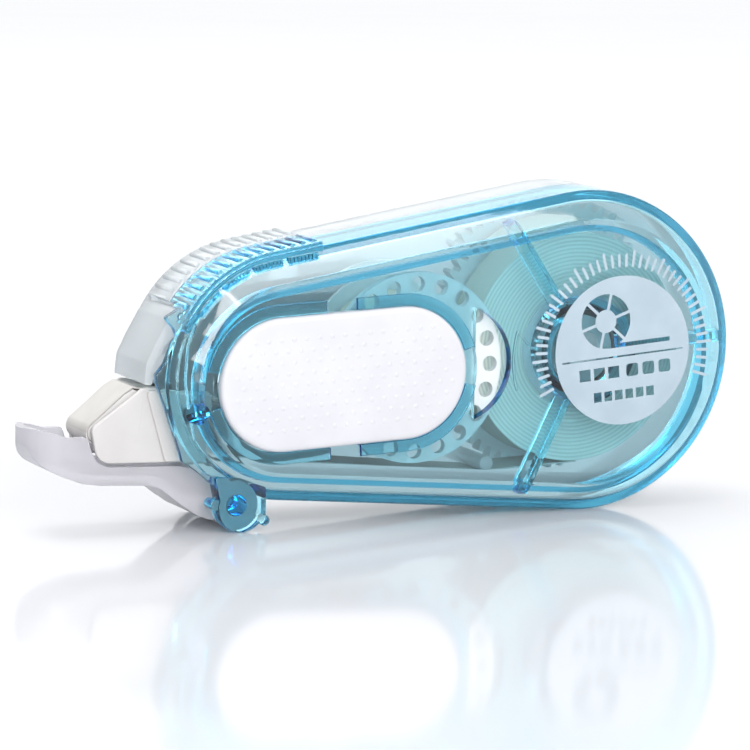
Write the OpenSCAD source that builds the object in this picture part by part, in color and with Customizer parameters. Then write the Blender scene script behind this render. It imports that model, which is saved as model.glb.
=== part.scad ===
// Mini correction tape dispenser: two snapped half shells, a slip-clutch tape drive,
// a fixed applicator head and a swinging cap.
// X runs along the body towards the big round end, Y across its thickness, Z up.
// It stands on its lower edge; the outlines are drawn in the XZ plane around the
// supply axle and lifted onto the floor by place().

/* [Case] */
// Radius of the big round end
body_r = 15; // [14.8:0.1:15.4]
// Half of the case thickness, without the pads
half_depth = 6.2; // [6.2:0.1:6.8]
// Wall thickness of both half shells
wall = 1; // [0.8:0.1:1]
// Width of the sloping border around each face
bevel_w = 2.6; // [2:0.1:2.8]
// Depth of the sloping border
bevel_d = 1.15; // [0.8:0.05:1.4]
// Radius of the small end, behind the head
nose_end_r = 11.2; // [11:0.1:11.4]
// Distance between the centres of the two ends
end_dist = 30.3; // [30:0.1:30.6]

/* [Grip] */
// Length of the oval pads
pad_len = 24.3; // [23:0.1:24.6]
// Height of the oval pads
pad_h = 12.2; // [11.5:0.1:12.3]
// How far a pad stands out of its face
pad_rise = 0.8; // [0.4:0.1:1]
// Finger ribs on the upper edge of each shell
grip_ribs = 15; // [8:1:15]

/* [Drive] */
// Gear module
gear_m = 0.4; // [0.4:0.1:0.4]
// Teeth on the supply gear
supply_teeth = 60; // [60:1:60]
// Teeth on the take-up gear
take_up_teeth = 28; // [28:1:28]
// Outer radius of the fresh tape roll
supply_roll_r = 10.7; // [8:0.1:10.8]
// Outer radius of the used liner roll
liner_roll_r = 6.3; // [5.4:0.1:6.5]
// Finger holes in the take-up wheel
wheel_holes = 20; // [12:1:20]
// Width of the tape
tape_w = 5; // [4.6:0.1:5]

/* [Cap] */
// Radius of the cap's hinge pin
pin_r = 0.93; // [0.8:0.01:1]
// Foremost reach of the cap, in front of the supply axle
cap_reach = 54.2; // [54.2:0.1:55]

/* [Hidden] */
$fn = 96;
eps = 0.02;
run = 0.05;

// Planes across the thickness, front side negative
face_y = half_depth;
inner_y = half_depth - wall;
skirt_y = half_depth - bevel_d;
wheel_y0 = -4.95;
wheel_y1 = -4.15;
tape_y = tape_w / 2;
gear_y0 = 3.3;
gear_y1 = 4.8;
opening_y = 3.75;

// Drive centres
centre_dist = gear_m * (supply_teeth + take_up_teeth) / 2;
take_up_angle = 182.6;
take_up = centre_dist * [cos(take_up_angle), sin(take_up_angle)];
axle_r = 1.8;
take_up_axle_r = 1.5;
hub_r = 3.2;
core_r = 5.5;
core_bore_r = 4.35;
spool_r = 4.7;
wheel_r = 8.8;
wheel_hole_r = 0.72;
wheel_hole_ring_r = 7.7;

// Shell outline: the big round end and the small one, joined by their common tangents
nose_end = [-end_dist, -1.2];
axis_tilt = atan2(-nose_end[1], end_dist);
taper = asin((body_r - nose_end_r) / end_dist);
top_slope = taper + axis_tilt;

// Finger grip: starts on the straight upper edge and runs on round the small end
grip_run = 5.2;
grip_len = 15.6;
grip_rise = 0.45;

// Pads and the ridge ring around them
pad_centre = [-25.3, -1.3];
pad_tilt = 2.6;
ring_len = 26.8;
ring_h = 14.5;
ring_w = 1.1;
ring_rise = 0.45;
pocket_d = 0.4;

// Cap hinge
pin = [-34.75, -12.7];
lug_r = 2.3;

// Head and tape path
locator = [-38.85, -4.05];
guide_post = [-9.2, -10.4];
guide_r = 0.73;
film_t = 0.12;
film_gap = 0.1;
nose = [-47.5, -5.75];
nose_r = 1.0;
top_turn = 129;
blade_top = [-44.95, -2.35];
blade_back = [-44.2, -1.95];
blade_heel = [-46.3, -7.75];
head_y = 3.55;
plate_t = 0.7;
head_exit = [-40.5, -8.05];

// Direction of the outward normal, and the point at height h over the upper edge, u mm along the grip
function grip_angle(u) = 90 + top_slope + max(0, u - grip_run) / nose_end_r * 180 / PI;
function grip_point(u, h) =
    let (a = grip_angle(u), back = max(0, grip_run - u))
    nose_end + (nose_end_r + h) * [cos(a), sin(a)] + back * [cos(top_slope), sin(top_slope)];
function grip_line(u0, u1, h, n) = [for (i = [0:n]) grip_point(u0 + (u1 - u0) * i / n, h)];

// Point where a line from e touches a circle of radius r around c; side is 1 or -1
function touch(e, c, r, side) =
    let (d = e - c, t = atan2(d[1], d[0]) + side * acos(r / norm(d)))
    c + r * [cos(t), sin(t)];

function polar(a, r) = r * [cos(a), sin(a)];
function arc(c, r, a0, a1, n) = [for (i = [0:n]) c + polar(a0 + (a1 - a0) * i / n, r)];

// Unit normal of a path at point i
function path_dir(p, i) =
    let (d = p[min(i + 1, len(p) - 1)] - p[max(i - 1, 0)]) d / norm(d);
function path_side(p, s) = [for (i = [0:len(p) - 1]) let (d = path_dir(p, i)) p[i] + s * [-d[1], d[0]]];
function reversed(p) = [for (i = [len(p) - 1:-1:0]) p[i]];

// Involute tooth: half angle of the tooth at radius r, in degrees
function inv(a) = tan(a) * 180 / PI - a;
function half_tooth(z, r, play) =
    let (rp = gear_m * z / 2, rb = rp * cos(20), a = r > rb ? acos(rb / r) : 0)
    ((PI * gear_m / 2 - play) / 2 / rp) * 180 / PI + inv(20) - inv(a);
function gear_points(z, play) =
    let (rp = gear_m * z / 2, radii = [for (k = [-1.15, -0.6, -0.1, 0.4, 0.85]) rp + k * gear_m])
    [for (i = [0:z - 1]) each concat(
        [for (r = radii) polar(360 * i / z - half_tooth(z, r, play), r)],
        [for (r = reversed(radii)) polar(360 * i / z + half_tooth(z, r, play), r)])];

// Lifts the drawing frame onto the floor, centred along X
module place() translate([(cap_reach - body_r) / 2, 0, body_r]) children();

// Extrudes an XZ outline from y0 to y1
module slab(y0, y1) translate([0, y1, 0]) rotate([90, 0, 0]) linear_extrude(y1 - y0) children();

// Cylinder along Y at an XZ point
module rod(c, r, y0, y1) translate([c[0], y1, c[1]]) rotate([90, 0, 0]) cylinder(r = r, h = y1 - y0);

module stadium(l, h) {
    square([l - h, h], center = true);
    for (s = [-1, 1]) translate([s * (l - h) / 2, 0]) circle(h / 2);
}

module at_pad() translate(pad_centre) rotate(pad_tilt) children();

// Solid of the case outline, inset by d, with its sloping border towards +Y
module case_solid(d, y_skirt, y_face) {
    hull() {
        rod([0, 0], body_r - d, 0, y_skirt);
        rod(nose_end, nose_end_r - d, 0, y_skirt);
        rod([0, 0], body_r - d - bevel_w, 0, y_face);
        rod(nose_end, nose_end_r - d - bevel_w, 0, y_face);
    }
}

// Everything left open between the shells for the head and the cap
module nose_opening() {
    polygon([[-60, -1.1], [-37, -1.1], [-37, -8.2], [-32, -9.6], [-32, -20], [-60, -20]]);
}

// Notch in the skirts for the hood
module hood_clearance() {
    polygon([[-50, -2], [-39, -2], [-39, 2.4], [-39.9, 3.4], [-39.3, 5.2], [-45, 9]]);
}

// One half shell towards +Y, without its posts
module half_shell() {
    difference() {
        union() {
            case_solid(0, skirt_y, face_y);
            finger_ribs();
            lug();
            slab(face_y - eps, face_y + ring_rise) ridge_ring();
        }
        translate([0, -eps, 0]) case_solid(wall, skirt_y - 0.2, inner_y + eps);
        slab(-1, opening_y) nose_opening();
        slab(-1, opening_y) hood_clearance();
        slab(face_y - pocket_d, face_y + 1) at_pad() stadium(pad_len + 0.1, pad_h + 0.1);
    }
}

// Four ridges around the pad, with bridges between them
module ridge_ring() {
    at_pad() difference() {
        stadium(ring_len, ring_h);
        stadium(ring_len - 2 * ring_w, ring_h - 2 * ring_w);
        square([3, 20], center = true);
        square([40, 3.6], center = true);
    }
}

// Raised band with cross ribs on the upper edge, where a fingertip rests
module finger_ribs() {
    slab(0.1, skirt_y + 0.2)
        polygon(concat(grip_line(0, grip_len, grip_rise, 24), reversed(grip_line(0, grip_len, -0.5, 24))));
    for (i = [0:grip_ribs - 1])
        rod(grip_point((i + 0.5) * grip_len / grip_ribs, 0.4), 0.3, 0.7, skirt_y - 0.5);
}

// Ear that carries one end of the hinge pin, with a stop on each side
module lug() {
    rod(pin, lug_r, opening_y, face_y - 0.5);
    slab(opening_y, face_y - 0.5)
        polygon([[-37.4, -9.8], [-36.9, -12.1], [-32.4, -13.9], [-32.4, -11], [-35, -10]]);
    rod(pin + [-2.5, 0.3], 0.5, opening_y, face_y - 0.7);
    rod(pin + [2.3, -1.35], 0.5, opening_y, face_y - 0.7);
}

module front_cover() {
    color([0.45, 0.75, 0.85, 0.6]) place() {
        difference() {
            mirror([0, 1, 0]) half_shell();
            slab(-face_y - 1, -inner_y + 1) finger_window();
        }
        grip_blocks();
        rod(pin, pin_r, -face_y + 0.7, face_y - 1.4);
        rod(locator, pin_r, -inner_y - 0.3, 1.3);
        hub_ribs();
    }
}

// Window beside the pad through which a fingertip turns the take-up wheel
module finger_window() {
    difference() {
        translate([-13.7, -0.55]) circle(5.4);
        at_pad() stadium(ring_len + 0.2, ring_h + 0.2);
        translate([-40, -30]) square([28, 60]);
    }
}

// Four raised blocks on the sloping border, beside the finger ribs
module grip_blocks() {
    for (u = [0.7:3.5:12]) slab(-skirt_y - 0.7, -skirt_y + 0.3)
        polygon(concat(grip_line(u, u + 3, -0.2, 6), reversed(grip_line(u, u + 3, -1.15, 6))));
}

// Three ribs and a ring that steady the supply reel
module hub_ribs() {
    difference() {
        rod([0, 0], 4.9, -inner_y - 0.2, -3);
        rod([0, 0], 3.9, -inner_y + eps, -2);
    }
    for (a = [3.5:120:360])
        slab(-inner_y - 0.2, -3.3) rotate(a) translate([4.5, -0.5]) square([body_r - wall - 4.2, 1]);
}

// Hood over the root of the head
module hood() {
    slab(-opening_y + 0.1, opening_y + eps)
        polygon([[-39.4, 5], [-40.4, 5.2], [-41.3, 4.4], [-42.5, 2.3], [-43.4, 0.5], [-43.6, -0.8],
            [-42.7, -0.9], [-42.4, 0.4], [-41.4, 2.2], [-40, 3.6]]);
}

module back_cover() {
    color([0.88, 0.9, 0.92, 0.8]) place() {
        hood();
        difference() {
            half_shell();
            rod(pin, pin_r + 0.03, 0, face_y - 1.3);
        }
        rod([0, 0], axle_r, -4, inner_y + 0.2);
        rod(take_up, take_up_axle_r, -4, inner_y + 0.2);
        rod(guide_post, guide_r, -3, inner_y + 0.2);
    }
}

module grip_pad() {
    hull() {
        slab(face_y - pocket_d, face_y + pad_rise - 0.3) at_pad() stadium(pad_len, pad_h);
        slab(face_y - pocket_d, face_y + pad_rise) at_pad() stadium(pad_len - 0.6, pad_h - 0.6);
    }
}
module front_grip_pad() color("white") place() mirror([0, 1, 0]) grip_pad();
module back_grip_pad() color("white") place() grip_pad();

module applicator_head() {
    color([0.97, 0.97, 0.96]) place() {
        difference() {
            for (s = [0, 1]) mirror([0, s, 0]) slab(head_y - plate_t, head_y) head_plate();
            rod(locator, pin_r + 0.04, -5, 5);
        }
        slab(-head_y + eps, head_y - eps) head_web();
        slab(-tape_y, tape_y) blade();
    }
}

// Side plate that keeps the tape on the blade
module head_plate() {
    polygon(concat([[-37.2, -2.4], [-43.4, -1.7]], arc([-47.5, -5.9], 0.8, 120, 215, 8),
        [[-47.2, -7.6], [-46.4, -8.3], [-40, -8.7], [-37.2, -8.7]]));
}

// Cross web that joins the two plates behind the blade
module head_web() polygon([[-41.5, -3.1], [-43.5, -2.7], [-44, -6.6], [-41.5, -6.6]]);

// Tongue with the rounded applying edge
module blade() {
    polygon(concat([[-41.6, -2.9], blade_back, blade_top], arc(nose, nose_r, top_turn, 216, 10),
        [blade_heel, [-41.6, -7]]));
}

module film(path) {
    slab(-tape_y, tape_y)
        polygon(concat(path_side(path, film_t / 2), reversed(path_side(path, -film_t / 2))));
}

// Fresh tape from the supply roll, under the guide post and the head, to the applying edge
module feed_tape() {
    bend = guide_post + [0, -guide_r - film_gap];
    start = touch(bend, [0, 0], supply_roll_r + film_gap, 1);
    color([0.95, 0.93, 0.86]) place() film(concat([start, bend], [head_exit, blade_heel + [-0.05, -0.22]],
        arc(nose, nose_r + film_gap, 216, 180, 4)));
}

// Bare liner from the applying edge, over the blade, to the take-up roll
module return_liner() {
    over = blade_back + [0, film_gap + 0.05];
    end = touch(over, take_up, liner_roll_r + film_gap, 1);
    color([0.9, 0.86, 0.72]) place() film(concat(arc(nose, nose_r + film_gap, 176, top_turn, 4),
        [blade_top + [-0.06, film_gap], over, end]));
}

// Supply gear with the hub that carries the clutch ring and the reel
module supply_gear() {
    color("white") place() difference() {
        union() {
            slab(gear_y0, gear_y1) rotate(take_up_angle) polygon(gear_points(supply_teeth, 0.06));
            rod([0, 0], hub_r, -3.6, gear_y0 + eps);
        }
        rod([0, 0], axle_r + run, -10, 10);
        translate([0, gear_y1, 0]) rotate([90, 0, 0]) rotate_extrude()
            translate([5, -eps]) square([5.6, 0.6]);
        for (y = [-1.6, 1.6]) translate([0, y, 0]) rotate([90, 0, 0]) rotate_extrude()
            translate([hub_r - 0.3, -0.5]) square([1, 1]);
    }
}

// Two rubber rings that let the reel slip on the gear's hub
module clutch_ring() {
    color([0.25, 0.25, 0.27]) place()
        for (y = [-1.6, 1.6])
            translate([0, y, 0]) rotate([90, 0, 0])
                rotate_extrude() translate([hub_r + 0.44, 0]) circle(0.66, $fn = 32);
}

module supply_core() {
    color([0.93, 0.95, 0.95]) place() difference() {
        rod([0, 0], core_r, -tape_y - 0.1, tape_y + 0.1);
        rod([0, 0], core_bore_r, -5, 5);
    }
}

module tape_ring(c, r_in, r_out) {
    difference() {
        rod(c, r_out, -tape_y, tape_y);
        rod(c, r_in, -5, 5);
    }
}
module supply_tape_roll() color([0.93, 0.93, 0.9]) place() tape_ring([0, 0], core_r + 0.02, supply_roll_r);
module used_liner_roll() color([0.9, 0.86, 0.75]) place() tape_ring(take_up, spool_r + 0.02, liner_roll_r);

// Take-up spool: gear, rear flange and core in one moulding
module take_up_spool() {
    color("white") place() difference() {
        union() {
            slab(gear_y0, gear_y1) translate(take_up) rotate(take_up_angle + 180 + 180 / take_up_teeth)
                polygon(gear_points(take_up_teeth, 0.06));
            rod(take_up, 7.6, tape_y + 0.15, gear_y0 - 0.2);
            rod(take_up, 4, tape_y, gear_y0 + eps);
            rod(take_up, spool_r, -tape_y - 0.2, tape_y + 0.2);
            rod(take_up, 2.6, wheel_y1 - 0.5, 0);
        }
        rod(take_up, take_up_axle_r + run, -10, 10);
    }
}

// Holed wheel on the front end of the take-up spool
module take_up_wheel() {
    color([0.8, 0.95, 0.97]) place() difference() {
        union() {
            rod(take_up, wheel_r, wheel_y0, wheel_y1);
            rod(take_up, 4, wheel_y1 - eps, -tape_y - 0.25);
        }
        rod(take_up, 2.62, -10, 10);
        for (i = [0:wheel_holes - 1])
            rod(take_up + polar(360 * i / wheel_holes, wheel_hole_ring_r), wheel_hole_r, -10, 10);
    }
}

// Cap outline: its floor line, its rising prow and the edge under the head plates
module cap_side() {
    polygon([[-36.5, -14.2], [-38.4, -13.5], [-40, -12.4], [-41.9, -10.9], [-43, -10.65], [-47.8, -10.35],
        [-49.4, -10.1], [-51.25, -9.4], [-52.6, -8.65], [-53.4, -7.9], [-53.9, -6.9], [-cap_reach, -5.9],
        [-cap_reach, -5.2], [-53.2, -5.25], [-52.1, -5.5], [-50.6, -5.95], [-49, -5.95], [-48.75, -6.3],
        [-48.3, -7.1], [-47.2, -8.2], [-46.5, -8.55], [-40, -8.95], [-38.2, -9.3], [-34.75, -10.5]]);
}

// Plan of the cap: a straight channel of half width w with a round bow
module bow(w, l) {
    translate([head_y - cap_reach, 0, -20]) cylinder(r = w, h = 30);
    translate([head_y - cap_reach, -w, -20]) cube([l, 2 * w, 30]);
}

module cap() {
    color([0.86, 0.86, 0.88, 0.85]) place() difference() {
        union() {
            intersection() {
                slab(-head_y - 1, head_y + 1) cap_side();
                difference() {
                    bow(head_y, 18);
                    bow(head_y - plate_t, 30);
                }
            }
            intersection() {
                slab(-head_y, head_y) cap_floor();
                bow(head_y - eps, 18);
            }
            rod(pin, 2.15, -head_y, head_y);
        }
        rod(pin, pin_r + run, -10, 10);
    }
}

// Floor of the cap, rising into the bow
module cap_floor() {
    polygon([[-38.4, -13.4], [-40, -12.35], [-41.9, -10.85], [-43, -10.6], [-47.8, -10.3], [-49.4, -10.05],
        [-51.25, -9.35], [-52.6, -8.6], [-53.4, -7.8], [-53.8, -6.9], [-53.2, -6.9], [-52.4, -7.8],
        [-51, -8.6], [-49.3, -9.3], [-47.7, -9.5], [-42.8, -9.8], [-41.4, -10], [-39.4, -11.6], [-37, -12]]);
}

front_cover();
back_cover();
front_grip_pad();
back_grip_pad();
applicator_head();
feed_tape();
return_liner();
supply_gear();
clutch_ring();
supply_core();
supply_tape_roll();
take_up_spool();
take_up_wheel();
used_liner_roll();
cap();
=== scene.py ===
"""Visual model of a mini correction tape dispenser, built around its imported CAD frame.

Shapes are drawn in millimetres around the supply axle (x along the body, y across it, z up)
and moved into the row frame, in metres, when a piece is finished.
"""
import math

import bmesh
import bpy
from mathutils import Matrix, Vector

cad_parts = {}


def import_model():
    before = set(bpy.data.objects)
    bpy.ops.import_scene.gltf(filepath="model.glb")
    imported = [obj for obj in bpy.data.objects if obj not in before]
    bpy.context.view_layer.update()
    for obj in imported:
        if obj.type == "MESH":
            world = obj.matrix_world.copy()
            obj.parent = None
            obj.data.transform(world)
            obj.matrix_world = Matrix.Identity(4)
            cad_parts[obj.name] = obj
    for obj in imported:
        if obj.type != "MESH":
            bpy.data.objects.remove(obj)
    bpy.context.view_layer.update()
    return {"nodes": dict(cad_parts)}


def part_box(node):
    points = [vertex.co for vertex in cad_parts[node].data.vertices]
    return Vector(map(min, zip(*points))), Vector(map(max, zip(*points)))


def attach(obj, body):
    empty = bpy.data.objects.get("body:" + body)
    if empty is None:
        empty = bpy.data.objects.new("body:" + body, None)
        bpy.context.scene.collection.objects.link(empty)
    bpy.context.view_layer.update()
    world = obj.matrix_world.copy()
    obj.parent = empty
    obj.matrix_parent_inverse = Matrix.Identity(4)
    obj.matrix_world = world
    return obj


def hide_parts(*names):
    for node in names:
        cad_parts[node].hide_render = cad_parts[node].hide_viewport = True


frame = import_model()
NODES = frame["nodes"]
MM = 0.001


def box_mm(node):
    low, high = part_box(node)
    return low / MM, high / MM


def centre_mm(node):
    low, high = box_mm(node)
    return (low + high) / 2


AXLE = centre_mm("supply_core")


def drawn(point):
    """An XZ point of the row frame, in the drawing's own coordinates."""
    return Vector((point.x - AXLE.x, point.z - AXLE.z))


# Driving dimensions, in millimetres
BODY_R = box_mm("back_cover")[1].x - AXLE.x
NOSE_END = Vector((-30.3, -1.2))
NOSE_END_R = 11.2
FACE_Y = 6.2
WALL = 1.0
INNER_Y = FACE_Y - WALL
BEVEL_W = 2.6
SKIRT_Y = FACE_Y - 1.15
TILT = math.atan2(-NOSE_END.y, -NOSE_END.x)
TAPER = math.asin((BODY_R - NOSE_END_R) / -NOSE_END.x)
TOP_SLOPE = TAPER + TILT
BOTTOM_SLOPE = TAPER - TILT
OPENING_Y = 3.75
TAKE_UP = drawn(centre_mm("take_up_wheel"))
PAD = drawn(centre_mm("front_grip_pad"))
PAD_TILT = math.radians(2.6)
PAD_LEN, PAD_H = 24.3, 12.2
PAD_Y = box_mm("back_grip_pad")[1].y
RING_LEN, RING_H, RING_W, RING_RISE = 26.8, 14.5, 1.1, 0.4
PIN = Vector((-34.75, -12.7))
PIN_R = 0.93
LUG_R = 2.3
LOCATOR = Vector((-38.85, -4.05))
GUIDE_POST = Vector((-9.2, -10.4))
GUIDE_R = 0.73
GRIP_RUN, GRIP_LEN, GRIP_RISE, GRIP_RIBS = 5.2, 15.6, 0.45, 15
HEAD_Y = box_mm("applicator_head")[1].y
TAPE_Y = 2.5
SEAM = 0.03
PRINT_CENTRE = Vector((3.23, 0.06))
PRINT_R = 7.0
PRINT_Y = FACE_Y + 0.005


# ---------------------------------------------------------------- small geometry kit

def polar(angle, r=1.0):
    return Vector((r * math.cos(angle), r * math.sin(angle)))


def arc(centre, r, a0, a1, n):
    """Points on an arc, angles in degrees."""
    c = Vector(centre)
    return [c + polar(math.radians(a0 + (a1 - a0) * i / n), r) for i in range(n + 1)]


def turned(points, angle, origin=(0, 0)):
    spin = Matrix.Rotation(angle, 2)
    return [spin @ Vector(p) + Vector(origin) for p in points]


def rounded(points, r, n=5):
    """A closed outline with its corners rounded; r is one radius or one for each corner."""
    radii = r if isinstance(r, (list, tuple)) else [r] * len(points)
    pts = [Vector(p) for p in points]
    out = []
    for i, p in enumerate(pts):
        before, after = pts[i - 1] - p, pts[(i + 1) % len(pts)] - p
        half = before.angle(after) / 2
        cut = min(radii[i] / math.tan(half), before.length * 0.49, after.length * 0.49)
        if cut < 1e-3:
            out.append(p)
            continue
        a, b = p + before.normalized() * cut, p + after.normalized() * cut
        for k in range(n + 1):
            t = k / n
            out.append((1 - t) ** 2 * a + 2 * t * (1 - t) * p + t * t * b)
    return out


def stadium(length, height, n=32):
    half = (length - height) / 2
    return arc((half, 0), height / 2, -90, 90, n) + arc((-half, 0), height / 2, 90, 270, n)


def at_pad(points):
    return turned(points, PAD_TILT, PAD)


def loft(rings):
    """Closed mesh through rings of 3-D points with the same count."""
    bm = bmesh.new()
    rows = [[bm.verts.new(p) for p in ring] for ring in rings]
    for low, high in zip(rows, rows[1:]):
        for i in range(len(low)):
            j = (i + 1) % len(low)
            bm.faces.new((low[i], low[j], high[j], high[i]))
    bm.faces.new(rows[0][::-1])
    bm.faces.new(rows[-1])
    bmesh.ops.recalc_face_normals(bm, faces=bm.faces)
    return bm


def lifted(points, y):
    return [Vector((p[0], y, p[1])) for p in points]


def prism(outline, y0, y1, edge=0.0, segments=2):
    """An XZ outline extruded along Y, with its two rims rounded by edge."""
    bm = loft([lifted(outline, y0), lifted(outline, y1)])
    if edge > 0:
        rims = [e for e in bm.edges if abs(e.verts[0].co.y - e.verts[1].co.y) < 1e-6]
        bmesh.ops.bevel(
            bm, geom=rims, offset=edge, segments=segments, profile=0.5, affect="EDGES", clamp_overlap=True)
    return bm


def rod(centre, r, y0, y1, edge=0.0, n=48):
    return prism(arc(centre, r, 0, 360 - 360 / n, n - 1), y0, y1, edge)


def merged(parts):
    """One mesh that holds several, which may overlap."""
    whole = bmesh.new()
    for part in parts:
        shell = bpy.data.meshes.new("part")
        part.to_mesh(shell)
        part.free()
        whole.from_mesh(shell)
        bpy.data.meshes.remove(shell)
    return whole


def combined(bm, operation, tools):
    """Boolean of one mesh with several tools at once."""
    made = []
    for part in [bm, *tools]:
        mesh = bpy.data.meshes.new("solid")
        part.to_mesh(mesh)
        part.free()
        ob = bpy.data.objects.new("solid", mesh)
        bpy.context.scene.collection.objects.link(ob)
        made.append(ob)
    group = bpy.data.collections.new("tools")
    for ob in made[1:]:
        group.objects.link(ob)
    step = made[0].modifiers.new("boolean", "BOOLEAN")
    step.operand_type = "COLLECTION"
    step.collection = group
    step.operation = operation
    step.solver = "EXACT"
    solved = made[0].evaluated_get(bpy.context.evaluated_depsgraph_get())
    out = bmesh.new()
    out.from_mesh(solved.to_mesh())
    solved.to_mesh_clear()
    for ob in made:
        mesh = ob.data
        bpy.data.objects.remove(ob)
        bpy.data.meshes.remove(mesh)
    bpy.data.collections.remove(group)
    return out


def mirrored(bm):
    bmesh.ops.scale(bm, vec=(1, -1, 1), verts=bm.verts)
    bmesh.ops.reverse_faces(bm, faces=bm.faces)
    return bm


def piece(name, bm, material, body="root", stands_for=(), sharp=32):
    """Turns a drawn mesh into a finished piece of the visual model."""
    bmesh.ops.remove_doubles(bm, verts=bm.verts, dist=1e-4)
    bmesh.ops.recalc_face_normals(bm, faces=bm.faces)
    mesh = bpy.data.meshes.new(name)
    bm.to_mesh(mesh)
    bm.free()
    mesh.transform(Matrix.Scale(MM, 4) @ Matrix.Translation((AXLE.x, 0, AXLE.z)))
    mesh.materials.append(material)
    mesh.shade_smooth()
    mesh.set_sharp_from_angle(angle=math.radians(sharp))
    ob = bpy.data.objects.new(name, mesh)
    bpy.context.scene.collection.objects.link(ob)
    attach(ob, body)
    if stands_for:
        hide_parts(*stands_for)
    return ob


def soften(ob, width, angle=38):
    """Rounds a piece's sharp moulded edges, width in millimetres."""
    step = ob.modifiers.new("edges", "BEVEL")
    step.width = width * MM
    step.segments = 2
    step.limit_method = "ANGLE"
    step.angle_limit = math.radians(angle)
    step.miter_outer = "MITER_ARC"
    step.use_clamp_overlap = True
    step.harden_normals = True


# ---------------------------------------------------------------- materials

def new_material(name):
    """A material with its node tree, its Principled shader and an object-space position."""
    mat = bpy.data.materials.new(name)
    mat.use_nodes = True
    tree = mat.node_tree
    place = tree.nodes.new("ShaderNodeTexCoord")
    return mat, tree, tree.nodes["Principled BSDF"], place.outputs["Object"]


def noise(tree, place, size_mm, detail=3.0):
    """Noise whose features are about size_mm across."""
    node = tree.nodes.new("ShaderNodeTexNoise")
    node.inputs["Scale"].default_value = 1 / (size_mm * MM)
    node.inputs["Detail"].default_value = detail
    node.inputs["Roughness"].default_value = 0.55
    tree.links.new(place, node.inputs["Vector"])
    return node.outputs["Fac"]


def ramp(tree, value, stops):
    node = tree.nodes.new("ShaderNodeValToRGB")
    ends = node.color_ramp.elements
    while len(ends) < len(stops):
        ends.new(0.5)
    for end, (at, colour) in zip(ends, stops):
        end.position = at
        end.color = (*colour, 1)
    tree.links.new(value, node.inputs["Fac"])
    return node.outputs["Color"]


def spread(tree, value, low, high):
    """value from 0..1 mapped to low..high."""
    node = tree.nodes.new("ShaderNodeMapRange")
    node.inputs["To Min"].default_value = low
    node.inputs["To Max"].default_value = high
    tree.links.new(value, node.inputs["Value"])
    return node.outputs["Result"]


def bump(tree, shader, height, depth_mm, strength):
    node = tree.nodes.new("ShaderNodeBump")
    node.inputs["Strength"].default_value = strength
    node.inputs["Distance"].default_value = depth_mm * MM
    tree.links.new(height, node.inputs["Height"])
    tree.links.new(node.outputs["Normal"], shader.inputs["Normal"])


def absorb(tree, colour, density):
    """Tint that grows with the thickness that light passes through."""
    node = tree.nodes.new("ShaderNodeVolumeAbsorption")
    node.inputs["Color"].default_value = (*colour, 1)
    node.inputs["Density"].default_value = density
    tree.links.new(node.outputs["Volume"], tree.nodes["Material Output"].inputs["Volume"])


def tinted_plastic(name, density):
    """Clear blue polystyrene, deeper in colour where it is thick."""
    mat, tree, shader, place = new_material(name)
    shader.inputs["Base Color"].default_value = (0.93, 0.99, 1, 1)
    shader.inputs["Transmission Weight"].default_value = 1
    shader.inputs["IOR"].default_value = 1.49
    tree.links.new(spread(tree, noise(tree, place, 4), 0.015, 0.06), shader.inputs["Roughness"])
    bump(tree, shader, noise(tree, place, 5, 2), 0.02, 0.25)
    absorb(tree, (0, 0.78, 0.94), density)
    return mat


def milky_plastic(name, tint, clear, rough, density):
    """Translucent plastic with a fine matt grain, as on frosted polypropylene."""
    mat, tree, shader, place = new_material(name)
    duller = [c * 0.97 for c in tint]
    colour = ramp(tree, noise(tree, place, 6, 2), [(0.3, duller), (0.7, tint)])
    tree.links.new(colour, shader.inputs["Base Color"])
    shader.inputs["Transmission Weight"].default_value = clear
    shader.inputs["IOR"].default_value = 1.45
    matt = spread(tree, noise(tree, place, 1.5), rough - 0.06, rough + 0.06)
    tree.links.new(matt, shader.inputs["Roughness"])
    bump(tree, shader, noise(tree, place, 0.12, 2), 0.01, 0.35)
    absorb(tree, tint, density)
    return mat


def moulded(name, low, high, rough, grain_mm=0.3, depth_mm=0.006, sheen=0.0, subsurface=0.0):
    """Opaque plastic, paper or rubber with slight clouding and a fine grain."""
    mat, tree, shader, place = new_material(name)
    colour = ramp(tree, noise(tree, place, 4), [(0.35, low), (0.65, high)])
    tree.links.new(colour, shader.inputs["Base Color"])
    matt = spread(tree, noise(tree, place, 1.2), rough - 0.05, rough + 0.08)
    tree.links.new(matt, shader.inputs["Roughness"])
    shader.inputs["Sheen Weight"].default_value = sheen
    shader.inputs["Subsurface Weight"].default_value = subsurface
    shader.inputs["Subsurface Radius"].default_value = (0.001, 0.0009, 0.0008)
    shader.inputs["Subsurface Scale"].default_value = 1.0
    bump(tree, shader, noise(tree, place, grain_mm, 4), depth_mm, 0.5)
    return mat


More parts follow.
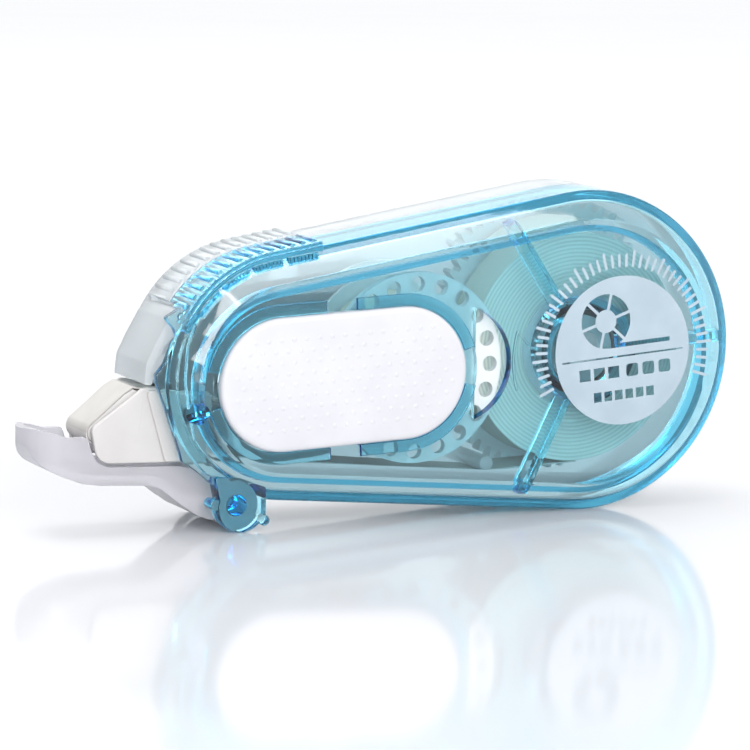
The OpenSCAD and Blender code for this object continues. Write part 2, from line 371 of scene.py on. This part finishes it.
def wound(name, centre, low, high, pitch_mm):
    """Side of a wound roll: fine rings around its axle, in a film colour."""
    mat, tree, shader, place = new_material(name)
    shift = tree.nodes.new("ShaderNodeMapping")
    shift.inputs["Location"].default_value = (-(centre.x + AXLE.x) * MM, 0, -(centre.y + AXLE.z) * MM)
    shift.inputs["Scale"].default_value = (1, 0, 1)
    tree.links.new(place, shift.inputs["Vector"])
    reach = tree.nodes.new("ShaderNodeVectorMath")
    reach.operation = "LENGTH"
    tree.links.new(shift.outputs["Vector"], reach.inputs[0])
    turns = tree.nodes.new("ShaderNodeMath")
    turns.operation = "MULTIPLY"
    turns.inputs[1].default_value = 2 * math.pi / (pitch_mm * MM)
    tree.links.new(reach.outputs["Value"], turns.inputs[0])
    wave = tree.nodes.new("ShaderNodeMath")
    wave.operation = "SINE"
    tree.links.new(turns.outputs["Value"], wave.inputs[0])
    rings = tree.nodes.new("ShaderNodeMapRange")
    rings.inputs["From Min"].default_value = -1
    tree.links.new(wave.outputs["Value"], rings.inputs["Value"])
    colour = ramp(tree, rings.outputs["Result"], [(0.1, low), (0.8, high)])
    tree.links.new(colour, shader.inputs["Base Color"])
    tree.links.new(spread(tree, noise(tree, place, 0.8), 0.42, 0.6), shader.inputs["Roughness"])
    bump(tree, shader, rings.outputs["Result"], 0.02, 0.5)
    return mat


TINTED = tinted_plastic("tinted_plastic_clear", 350)
TINTED_DEEP = tinted_plastic("tinted_plastic_thick", 1500)
FROSTED = milky_plastic("frosted_plastic_shell", (0.83, 0.87, 0.89), 0.74, 0.4, 30)
CAP_MILKY = milky_plastic("cap_plastic_milky", (0.74, 0.73, 0.77), 0.6, 0.36, 60)
PAD_WHITE = moulded("pad_plastic_soft", (0.57, 0.57, 0.60), (0.60, 0.60, 0.63), 0.5, 0.2, 0.004, sheen=0.1)
HEAD_WHITE = moulded("white_plastic_satin", (0.53, 0.515, 0.51), (0.56, 0.545, 0.535), 0.36, subsurface=0.1)
GEAR_WHITE = milky_plastic("gear_plastic_natural", (0.95, 0.99, 1.0), 0.3, 0.4, 25)
PRINT_WHITE = moulded("print_ink_white", (0.34, 0.42, 0.48), (0.38, 0.465, 0.525), 0.45, 0.15, 0.002)
TAPE_WHITE = moulded("tape_film_white", (0.53, 0.52, 0.50), (0.59, 0.575, 0.55), 0.55, 0.25, 0.004)
LINER_CREAM = moulded("liner_film_cream", (0.44, 0.425, 0.40), (0.49, 0.475, 0.45), 0.38, 0.3, 0.004)
RUBBER = moulded("clutch_rubber_black", (0.03, 0.03, 0.035), (0.06, 0.06, 0.065), 0.6, 0.2, 0.01)
TAPE_ROLL = wound("tape_roll_wound", Vector((0, 0)), (0.62, 0.66, 0.6), (0.8, 0.83, 0.77), 0.36)
LINER_ROLL = wound("liner_roll_wound", TAKE_UP, (0.7, 0.64, 0.52), (0.86, 0.81, 0.7), 0.3)


# ---------------------------------------------------------------- shells

def case_ring(inset, y):
    """The case outline at depth y, moved in by inset."""
    top, bottom = 90 + math.degrees(TOP_SLOPE), -90 - math.degrees(BOTTOM_SLOPE)
    big = arc((0, 0), max(BODY_R - inset, 0.2), bottom, top, 120)
    small = arc(NOSE_END, max(NOSE_END_R - inset, 0.2), top, 360 + bottom, 100)
    return lifted(big + small, y)


def half_case():
    """One half shell towards +Y: outer wall, sloping border, face and the hollow inside."""
    outer = rounded([(-5, 0), (0, 0), (0, SKIRT_Y), (BEVEL_W, FACE_Y), (8, FACE_Y), (8, -5)],
                    [0, 0, 0.5, 0.7, 0, 0], 6)
    outer = [p for p in outer if p.y >= 0 and 0 <= p.x <= 5]
    inner = rounded([(-5, 0), (WALL, 0), (WALL, SKIRT_Y - 0.2), (WALL + BEVEL_W, INNER_Y), (8, INNER_Y),
                     (8, -5)], [0, 0, 0.4, 0.6, 0, 0], 4)
    inner = [p for p in inner if p.y >= 0 and WALL <= p.x <= 5]
    return loft([case_ring(p.x, max(p.y, SEAM)) for p in inner[::-1] + outer])


def grip_point(u, h):
    """Point h over the upper edge, u along the finger grip."""
    turn = math.pi / 2 + TOP_SLOPE + max(0, u - GRIP_RUN) / NOSE_END_R
    return NOSE_END + polar(turn, NOSE_END_R + h) + polar(TOP_SLOPE, max(0, GRIP_RUN - u))


def grip_strip(u0, u1, h0, h1, n):
    steps = [u0 + (u1 - u0) * i / n for i in range(n + 1)]
    return [grip_point(u, h1) for u in steps] + [grip_point(u, h0) for u in reversed(steps)]


def finger_grip():
    """Raised band with cross ribs on the upper edge."""
    parts = [prism(grip_strip(0, GRIP_LEN, -0.5, GRIP_RISE, 30), 0.1, SKIRT_Y + 0.2, 0.12)]
    for i in range(GRIP_RIBS):
        centre = grip_point((i + 0.5) * GRIP_LEN / GRIP_RIBS, 0.38)
        parts.append(rod(centre, 0.3, 0.7, SKIRT_Y - 0.5, 0.12, 16))
    return parts


def ridge_segment(turn):
    """One of the four raised arcs around the pad, on the quarter that turn points to."""
    sx, sz = turn
    gap_x, gap_z = 1.5, 1.8
    centre = (RING_LEN - RING_H) / 2
    ring = stadium(RING_LEN, RING_H, 48)
    outer = [p for p in ring if p.x * sx > gap_x and p.y * sz > gap_z]
    outer.sort(key=lambda p: math.atan2(p.y * sz, p.x * sx))
    end_x = math.sqrt((RING_H / 2) ** 2 - gap_z ** 2) + centre
    outer = [Vector((end_x * sx, gap_z * sz))] + outer + [Vector((gap_x * sx, RING_H / 2 * sz))]
    inner = []
    for p in reversed(outer):
        hub = Vector((min(abs(p.x), centre) * sx, 0))
        inner.append(hub + (p - hub).normalized() * (RING_H / 2 - RING_W + 0.04))
    return at_pad(outer + inner)


def pad_rings(side, name):
    """The four raised arcs around a pad; side is -1 for the front face and 1 for the back."""
    quarters = [(1, 1), (1, -1), (-1, 1), (-1, -1)]
    bm = merged([prism(ridge_segment(turn), FACE_Y + 0.01, FACE_Y + RING_RISE, 0.12, 3) for turn in quarters])
    if side < 0:
        piece(name, mirrored(bm), TINTED_DEEP)
    else:
        piece(name, bm, FROSTED)


def lug():
    """Ear that carries one end of the hinge pin, with a stop on each side."""
    web = [(-37.4, -9.8), (-36.9, -12.1), (-34.8, -13), (-32.4, -13.9), (-32.4, -11), (-35, -10)]
    return [rod(PIN, LUG_R, OPENING_Y, FACE_Y - 0.5, 0.15, 64),
            prism(rounded(web, 0.3, 3), OPENING_Y, FACE_Y - 0.5, 0.1),
            rod(PIN + Vector((-2.5, 0.3)), 0.5, OPENING_Y, FACE_Y - 0.7, 0.1, 24),
            rod(PIN + Vector((2.3, -1.35)), 0.5, OPENING_Y, FACE_Y - 0.7, 0.1, 24)]


def nose_cuts():
    """Openings for the head and the cap, and for the hood above them."""
    nose = [(-60, -1.1), (-37, -1.1), (-37, -8.2), (-32, -9.6), (-32, -20), (-60, -20)]
    hood_gap = [(-50, -2), (-39, -2), (-39, 2.4), (-39.9, 3.4), (-39.3, 5.2), (-45, 9)]
    return [prism(nose, -1, OPENING_Y), prism(hood_gap, -1, OPENING_Y)]


def half_shell():
    """A half shell with everything that both covers share, towards +Y."""
    shell = combined(half_case(), "UNION", finger_grip() + lug())
    pocket = prism(at_pad(stadium(PAD_LEN + 0.1, PAD_H + 0.1)), FACE_Y - 0.4, FACE_Y + 1)
    return combined(shell, "DIFFERENCE", nose_cuts() + [pocket])


def hub_ribs():
    """Three ribs and a ring inside the front cover that steady the supply reel."""
    ring = combined(rod((0, 0), 4.9, 3, INNER_Y + 0.2), "DIFFERENCE", [rod((0, 0), 3.9, 2, INNER_Y - 0.02)])
    ribs = []
    for turn in range(3):
        bar = [(4.5, -0.5), (BODY_R - 0.7, -0.5), (BODY_R - 0.7, 0.5), (4.5, 0.5)]
        ribs.append(prism(turned(bar, math.radians(3.5 + 120 * turn)), 3.3, INNER_Y + 0.2, 0.1))
    return [ring, *ribs]


def finger_window():
    """The D-shaped window beside the pad."""
    disc = rod((-13.7, -0.55), 5.4, 3, 8, 0, 96)
    keep = prism(at_pad(stadium(RING_LEN + 0.2, RING_H + 0.2)), 2, 9)
    left = prism([(-40, -30), (-12, -30), (-12, 30), (-40, 30)], 2, 9)
    return combined(disc, "DIFFERENCE", [keep, left])


def grip_blocks():
    """Four blocks under the grip, each with fine ribs, and the rail above them."""
    blocks = []
    for k in range(4):
        start = 0.7 + 3.5 * k
        block = grip_strip(start, start + 3, -1.15, -0.3, 6)
        blocks.append(prism(block, SKIRT_Y - 0.3, SKIRT_Y + 0.5, 0.08))
        for rib in range(8):
            u = start + 0.1 + 0.36 * rib
            blocks.append(prism(grip_strip(u, u + 0.2, -1.05, -0.4, 1), SKIRT_Y, SKIRT_Y + 0.66, 0.05))
    rail = grip_strip(0.1, GRIP_LEN - 0.2, -0.12, 0.16, 30)
    return [*blocks, prism(rail, SKIRT_Y - 0.2, SKIRT_Y + 0.55, 0.1)]


def cheek():
    """Thin plate that frames the head, proud of the rounded nose."""
    rim = [(-42.3, 4.7), (-41.4, 3.75), (-41, 2.9), (-41.5, 2.5), (-42.2, 0.6), (-43, -0.35), (-42.95, -1.1),
           (-42, -3.6), (-40.8, -7), (-40.4, -8.35), (-39, -9.3), (-37.3, -10.7), (-36.4, -10.2), (-38.6, -8),
           (-39.6, -4), (-40, -1), (-39.8, 2), (-39, 4), (-40.6, 5.6)]
    return prism(rounded(rim, 0.35, 3), SKIRT_Y - 0.75, SKIRT_Y + 0.1, 0.12)


def stroke(points, width):
    """A closed outline of the given width along a path."""
    halves = []
    for i in range(len(points)):
        step = (Vector(points[min(i + 1, len(points) - 1)]) - Vector(points[max(i - 1, 0)])).normalized()
        halves.append(Vector((-step.y, step.x)) * width / 2)
    left = [Vector(p) + half for p, half in zip(points, halves)]
    right = [Vector(p) - half for p, half in zip(points, halves)]
    return left + right[::-1]


def arrow_mark():
    """Raised arrow beside the window that shows which way the reel turns."""
    curve = arc((1.5, -0.4), 9.6, 164, 197, 16)
    line_w = 0.22
    return [prism(stroke(curve, line_w), FACE_Y - 0.1, FACE_Y + 0.12),
            prism(stroke([curve[0], (-6.6, 1.0)], line_w), FACE_Y - 0.1, FACE_Y + 0.1)]


def rim_rib():
    """Stiffening rib inside the front cover, under the edge of the face and set a little low."""
    drop, inset, width = 0.7, 2.5, 0.55
    outer = [Vector((p.x, p.z - drop)) for p in case_ring(inset, 0)]
    inner = [Vector((p.x, p.z - drop)) for p in case_ring(inset + width, 0)]
    rib = combined(prism(outer, 3.9, INNER_Y - 0.1), "DIFFERENCE", [prism(inner, 3, INNER_Y + 1)])
    piece("front_rim_rib", mirrored(rib), TINTED_DEEP)


def front_cover():
    shell = combined(half_shell(), "DIFFERENCE", [finger_window()])
    shell = combined(shell, "UNION", [cheek(), *arrow_mark()])
    pins = [rod(LOCATOR, PIN_R, -1.3, INNER_Y + 0.3, 0.1), rod(PIN, PIN_R, -FACE_Y + 1.4, FACE_Y - 0.7, 0.1)]
    shell = combined(shell, "UNION", hub_ribs() + pins)
    shell = combined(shell, "UNION", grip_blocks())
    piece("front_shell", mirrored(shell), TINTED, stands_for=["front_cover"])


def back_cover():
    shell = combined(half_shell(), "DIFFERENCE", [rod(PIN, PIN_R + 0.03, 0, FACE_Y - 1.3)])
    hood = [(-39.4, 5), (-40.4, 5.2), (-41.3, 4.4), (-42.5, 2.3), (-43.4, 0.5), (-43.6, -1.45),
            (-42.8, -1.5), (-42.4, 0.4), (-41.4, 2.2), (-40, 3.6)]
    hood = rounded(hood, [0, 1, 1, 2, 1, 0.3, 0.2, 1, 1, 0], 5)
    posts = [rod((0, 0), 1.8, -4, INNER_Y + 0.2, 0.2), rod(TAKE_UP, 1.5, -4, INNER_Y + 0.2, 0.2),
             rod(GUIDE_POST, GUIDE_R, -3, INNER_Y + 0.2, 0.2),
             prism(hood, -OPENING_Y + 0.1, OPENING_Y + 0.02, 0.15)]
    shell = combined(shell, "UNION", posts)
    piece("back_shell", shell, FROSTED, stands_for=["back_cover"])


def bar(x0, z0, x1, z1):
    """Outline of a rectangle from two opposite corners."""
    return [(x0, z0), (x1, z0), (x1, z1), (x0, z1)]


def print_disc():
    """Printed disc on the front: a plain icon of a tape roll over rows of blank bars."""
    tilt, roll = math.radians(4.5), Vector((-1.6, 2.9))

    def cut(outline):
        return prism(turned(outline, tilt, PRINT_CENTRE), PRINT_Y - 1, PRINT_Y + 1)

    strokes = [cut(bar(-6.3, -0.62, 6.3, -0.46)), cut(bar(-1.6, 0.32, 5, 0.72))]
    strokes += [cut(bar(x, -2.5, x + 1.15, -1.4)) for x in (-4.6, -3.1, -1.6)]
    strokes += [cut(rounded(bar(x, -2.55, x + 1.25, -1.35), 0.3, 3)) for x in (0.3, 2.0, 3.7)]
    strokes += [cut(bar(-3.2 + 1.1 * k, -4.6, -2.4 + 1.1 * k, -3.7)) for k in range(6)]
    disc = combined(rod(PRINT_CENTRE, PRINT_R, PRINT_Y, PRINT_Y + 0.03, 0, 128), "DIFFERENCE", strokes)
    wheel = combined(cut(arc(roll, 2.55, 0, 352, 44)), "DIFFERENCE", [cut(arc(roll, 1.1, 0, 345, 23))])
    spokes = [cut(turned(bar(1.0, -0.14, 2.7, 0.14), math.radians(60 * k + 15), roll)) for k in range(6)]
    return combined(disc, "DIFFERENCE", [combined(wheel, "DIFFERENCE", spokes)])


def print_scale():
    """Printed arc of plain ticks round the disc."""
    count, start, sweep, near = 45, 205, 222, PRINT_R + 0.8
    ticks = []
    for k in range(count):
        length = 1.25 if k % 4 else 1.6
        tick = rounded(bar(near, -0.14, near + length, 0.14), 0.1, 2)
        turn = math.radians(start - sweep * k / (count - 1))
        ticks.append(prism(turned(tick, turn, PRINT_CENTRE), PRINT_Y, PRINT_Y + 0.025))
    return merged(ticks)


def front_print():
    piece("print_disc", mirrored(print_disc()), PRINT_WHITE)
    piece("print_scale", mirrored(print_scale()), PRINT_WHITE)


# ---------------------------------------------------------------- pads

def pad():
    """Oval pad towards +Y, with a soft rim and rows of fine raised dots."""
    profile = [(0, FACE_Y - 0.39), (0, PAD_Y - 0.42), (0.04, PAD_Y - 0.25), (0.14, PAD_Y - 0.12),
               (0.32, PAD_Y - 0.03), (0.6, PAD_Y)]
    rings = []
    for inset, y in profile:
        rings.append(lifted(at_pad(stadium(PAD_LEN - 2 * inset, PAD_H - 2 * inset, 48)), y))
    parts = [loft(rings)]
    pitch, r = 1.25, 0.27
    dome = [(1, -0.02), (0.75, 0.02), (0.4, 0.035)]
    half_l, half_h = (PAD_LEN - PAD_H) / 2, PAD_H / 2 - 1.1
    for row in range(-6, 7):
        for col in range(-12, 13):
            at = Vector(((col + 0.5 * (row % 2)) * pitch, row * pitch * 0.82))
            reach = Vector((max(abs(at.x) - half_l, 0), at.y)).length
            if reach < half_h:
                centre = at_pad([at])[0]
                parts.append(loft([lifted(arc(centre, r * k, 0, 330, 11), PAD_Y + h) for k, h in dome]))
    return merged(parts)


def grip_pads():
    piece("front_pad", mirrored(pad()), PAD_WHITE, stands_for=["front_grip_pad"])
    piece("back_pad", pad(), PAD_WHITE, stands_for=["back_grip_pad"])


# ---------------------------------------------------------------- head, tape and cap

NOSE = Vector((-47.5, -5.75))
NOSE_R = 1.0
TOP_TURN, LAY_TURN, HEEL_TURN = 129, 176, 216
BLADE_TOP = Vector((-44.95, -2.35))
BLADE_BACK = Vector((-44.2, -1.95))
BLADE_HEEL = Vector((-46.3, -7.75))
HEAD_EXIT = Vector((-40.5, -8.05))
CAP_REACH = AXLE.x - box_mm("cap")[0].x
FILM_T, FILM_GAP = 0.12, 0.1


def applicator_head():
    """White head: two cheek plates with a shallow step, a web and the blade between them."""
    side = [(-37.2, -2.4), (-43.4, -1.7), (-48.4, -5.2), (-47.8, -8.45), (-40, -8.7), (-37.2, -8.7)]
    low = rounded(side, [0.3, 1.1, 0.9, 1.7, 0.2, 0.2], 10)
    rear = [(-37.2, -2.5), (-43.3, -1.95), (-41.4, -8.55), (-37.2, -8.6)]
    high = rounded(rear, [0.3, 0.5, 0.2, 0.2], 6)
    plates = []
    for sign in (-1, 1):
        for outline, top, rim in ((low, HEAD_Y - 0.32, 0.3), (high, HEAD_Y, 0.34)):
            ys = sorted((sign * (HEAD_Y - 0.8), sign * top))
            plates.append(prism(outline, *ys, rim, 5))
    web = [(-41.5, -3.1), (-43.5, -2.7), (-44, -6.6), (-41.5, -6.6)]
    edge = arc(NOSE, NOSE_R, TOP_TURN, HEEL_TURN, 20)
    blade = [Vector((-41.6, -2.9)), BLADE_BACK, BLADE_TOP, *edge, BLADE_HEEL, Vector((-41.6, -7))]
    solids = plates[1:] + [prism(web, -HEAD_Y + 0.3, HEAD_Y - 0.3), prism(blade, -TAPE_Y, TAPE_Y, 0.12)]
    head = combined(plates[0], "UNION", solids)
    head = combined(head, "DIFFERENCE", [rod(LOCATOR, PIN_R + 0.04, -5, 5)])
    piece("head", head, HEAD_WHITE, stands_for=["applicator_head"])


def touch(end, centre, r, side):
    """Point where a line from end touches a circle; side picks one of the two."""
    way = Vector(end) - Vector(centre)
    return Vector(centre) + polar(math.atan2(way.y, way.x) + side * math.acos(r / way.length), r)


def films():
    """Fresh tape down to the applying edge, and the bare liner back from it."""
    roll_r = (box_mm("supply_tape_roll")[1].x - box_mm("supply_tape_roll")[0].x) / 2
    liner_r = (box_mm("used_liner_roll")[1].x - box_mm("used_liner_roll")[0].x) / 2
    post = arc(GUIDE_POST, GUIDE_R + FILM_GAP, 300, 262, 6)
    feed = [touch(post[0], (0, 0), roll_r + FILM_GAP, 1), *post, HEAD_EXIT]
    feed.append(BLADE_HEEL + Vector((-0.05, -0.22)))
    feed += arc(NOSE, NOSE_R + FILM_GAP, HEEL_TURN, LAY_TURN, 12)
    over = BLADE_BACK + Vector((0, FILM_GAP + 0.05))
    back = arc(NOSE, NOSE_R + FILM_GAP, LAY_TURN, TOP_TURN, 12)
    back += [BLADE_TOP + Vector((-0.06, FILM_GAP)), over]
    back.append(touch(over, TAKE_UP, liner_r + FILM_GAP, 1))
    tape = prism(stroke(feed, FILM_T), -TAPE_Y, TAPE_Y)
    piece("tape_strip", tape, TAPE_WHITE, stands_for=["feed_tape"])
    liner = prism(stroke(back, FILM_T), -TAPE_Y, TAPE_Y)
    piece("liner_strip", liner, LINER_CREAM, stands_for=["return_liner"])


def bow(half_w, length):
    """Plan of the cap, a straight channel with a round bow, extruded upwards past all of the cap."""
    centre = HEAD_Y - CAP_REACH
    plan = arc((centre, 0), half_w, 90, 270, 32)
    plan += [Vector((centre + length, -half_w)), Vector((centre + length, half_w))]
    return loft([[Vector((p.x, p.y, z)) for p in plan] for z in (-20, 10)])


def cap():
    """Milky swinging cap: a channel with a round bow, a floor that rises into it, and the hinge barrel."""
    wall = [(-36.5, -14.3), (-38.4, -13.5), (-40, -12.4), (-41.9, -10.9), (-43, -10.6), (-47.8, -10.35),
            (-49.4, -10.1), (-51.25, -9.4), (-52.6, -8.65), (-53.4, -7.9), (-53.9, -6.9), (-54.3, -5.9),
            (-54.3, -5.15), (-53.2, -5.2), (-52.1, -5.5), (-50.6, -5.95), (-49, -5.95), (-48.8, -6.3),
            (-48.5, -7.3), (-47.9, -8.3), (-46.9, -8.75), (-40, -8.98), (-38.2, -9.4), (-34.75, -10.5)]
    hollow = [(-60, 5), (-60, -5), (-53.4, -6.6), (-52.5, -7.7), (-51, -8.6), (-49.3, -9.3), (-47.7, -9.5),
              (-42.8, -9.8), (-41.4, -10), (-39.4, -11.6), (-37, -12), (-38.4, -13.4), (-37.5, -16),
              (-30, -16), (-30, 5)]
    wall, hollow = rounded(wall, 1.2, 6), rounded(hollow, 0.8, 4)
    body = combined(prism(wall, -HEAD_Y - 1, HEAD_Y + 1), "INTERSECT", [bow(HEAD_Y, 18)])
    inside = combined(prism(hollow, -HEAD_Y - 1, HEAD_Y + 1), "INTERSECT", [bow(HEAD_Y - 0.7, 30)])
    body = combined(body, "DIFFERENCE", [inside])
    body = combined(body, "UNION", [rod(PIN, 2.15, -HEAD_Y, HEAD_Y, 0.15, 64)])
    body = combined(body, "DIFFERENCE", [rod(PIN, PIN_R + 0.05, -10, 10)])
    shell = piece("cap_shell", body, CAP_MILKY, body="cap", stands_for=["cap"])
    soften(shell, 0.14)


# ---------------------------------------------------------------- pieces

front_cover()
rim_rib()
back_cover()
pad_rings(-1, "front_pad_ring")
pad_rings(1, "back_pad_ring")
front_print()
grip_pads()
applicator_head()
films()
cap()

CAD_LOOKS = {
    "supply_gear": GEAR_WHITE,
    "clutch_ring": RUBBER,
    "supply_core": GEAR_WHITE,
    "supply_tape_roll": TAPE_ROLL,
    "take_up_spool": GEAR_WHITE,
    "take_up_wheel": GEAR_WHITE,
    "used_liner_roll": LINER_ROLL,
}
for node, material in CAD_LOOKS.items():
    NODES[node].material_slots[0].material = material


# ---------------------------------------------------------------- stage, lights and camera

def floor():
    """Pale, faintly clouded and glossy table top."""
    bpy.ops.mesh.primitive_plane_add(size=4, location=(0, 0, 0))
    plane = bpy.context.object
    plane.name = "floor"
    mat, tree, shader, place = new_material("floor_pale")
    colour = ramp(tree, noise(tree, place, 90, 2), [(0.3, (0.64, 0.65, 0.68)), (0.7, (0.67, 0.675, 0.70))])
    tree.links.new(colour, shader.inputs["Base Color"])
    tree.links.new(spread(tree, noise(tree, place, 30), 0.07, 0.11), shader.inputs["Roughness"])
    shader.inputs["IOR"].default_value = 1.4
    plane.data.materials.append(mat)


def world():
    """White studio walls that darken softly towards the ceiling."""
    sky = bpy.data.worlds.new("studio")
    sky.use_nodes = True
    tree = sky.node_tree
    place = tree.nodes.new("ShaderNodeTexCoord")
    split = tree.nodes.new("ShaderNodeSeparateXYZ")
    tree.links.new(place.outputs["Generated"], split.inputs["Vector"])
    shade = tree.nodes.new("ShaderNodeMapRange")
    shade.inputs["From Min"].default_value = 0.05
    shade.inputs["From Max"].default_value = 0.8
    shade.inputs["To Min"].default_value = 1.2
    shade.inputs["To Max"].default_value = 0.7
    tree.links.new(split.outputs["Z"], shade.inputs["Value"])
    tree.links.new(shade.outputs["Result"], tree.nodes["Background"].inputs["Strength"])
    tree.nodes["Background"].inputs["Color"].default_value = (0.98, 0.985, 1, 1)
    bpy.context.scene.world = sky


def light_paths():
    """Enough bounces for light to run along the clear walls."""
    paths = bpy.context.scene.cycles
    paths.max_bounces = 24
    paths.glossy_bounces = 16
    paths.transmission_bounces = 24


def softbox(name, place, target, size, power, roll=0):
    """Rectangular lamp aimed at a point and turned about its own axis by roll degrees."""
    lamp = bpy.data.lights.new(name, "AREA")
    lamp.shape = "RECTANGLE"
    lamp.size, lamp.size_y = size
    lamp.energy = power
    ob = bpy.data.objects.new(name, lamp)
    aim = (Vector(target) - Vector(place)).to_track_quat("-Z", "Y").to_matrix().to_4x4()
    ob.matrix_world = Matrix.Translation(place) @ aim @ Matrix.Rotation(math.radians(roll), 4, "Z")
    ob.visible_camera = False
    bpy.context.scene.collection.objects.link(ob)


def camera():
    """Camera at the left of the front face, slightly above it."""
    yaw, rise, roll = math.radians(24.93), math.radians(8.54), math.radians(1.12)
    reach, lens = 0.410, 213.36
    look_at = Vector((AXLE.x - 19.21, 0, AXLE.z - 2.16)) * MM
    away = Vector((-math.sin(yaw) * math.cos(rise), -math.cos(yaw) * math.cos(rise), math.sin(rise)))
    data = bpy.data.cameras.new("camera")
    data.sensor_width = 36
    data.lens = lens
    data.clip_start = 0.01
    ob = bpy.data.objects.new("camera", data)
    turn = (-away).to_track_quat("-Z", "Y").to_matrix().to_4x4()
    ob.matrix_world = Matrix.Translation(look_at + reach * away) @ turn @ Matrix.Rotation(roll, 4, "Z")
    bpy.context.scene.collection.objects.link(ob)
    bpy.context.scene.camera = ob


floor()
world()
softbox("strip_high", (0.08, -0.47, 0.31), (0, 0, 0.015), (0.3, 0.1), 0.85, 18)
softbox("strip_low", (-0.13, -0.52, 0.15), (0, 0, 0.015), (0.34, 0.1), 1.5, 58)
softbox("top", (-0.1, 0.05, 0.5), (0, 0, 0.01), (0.35, 0.3), 1.2)
softbox("back", (0.06, 0.42, 0.33), (0, 0, 0.015), (0.6, 0.3), 0.95)
light_paths()
camera()
bpy.context.scene.view_settings.view_transform = "Standard"
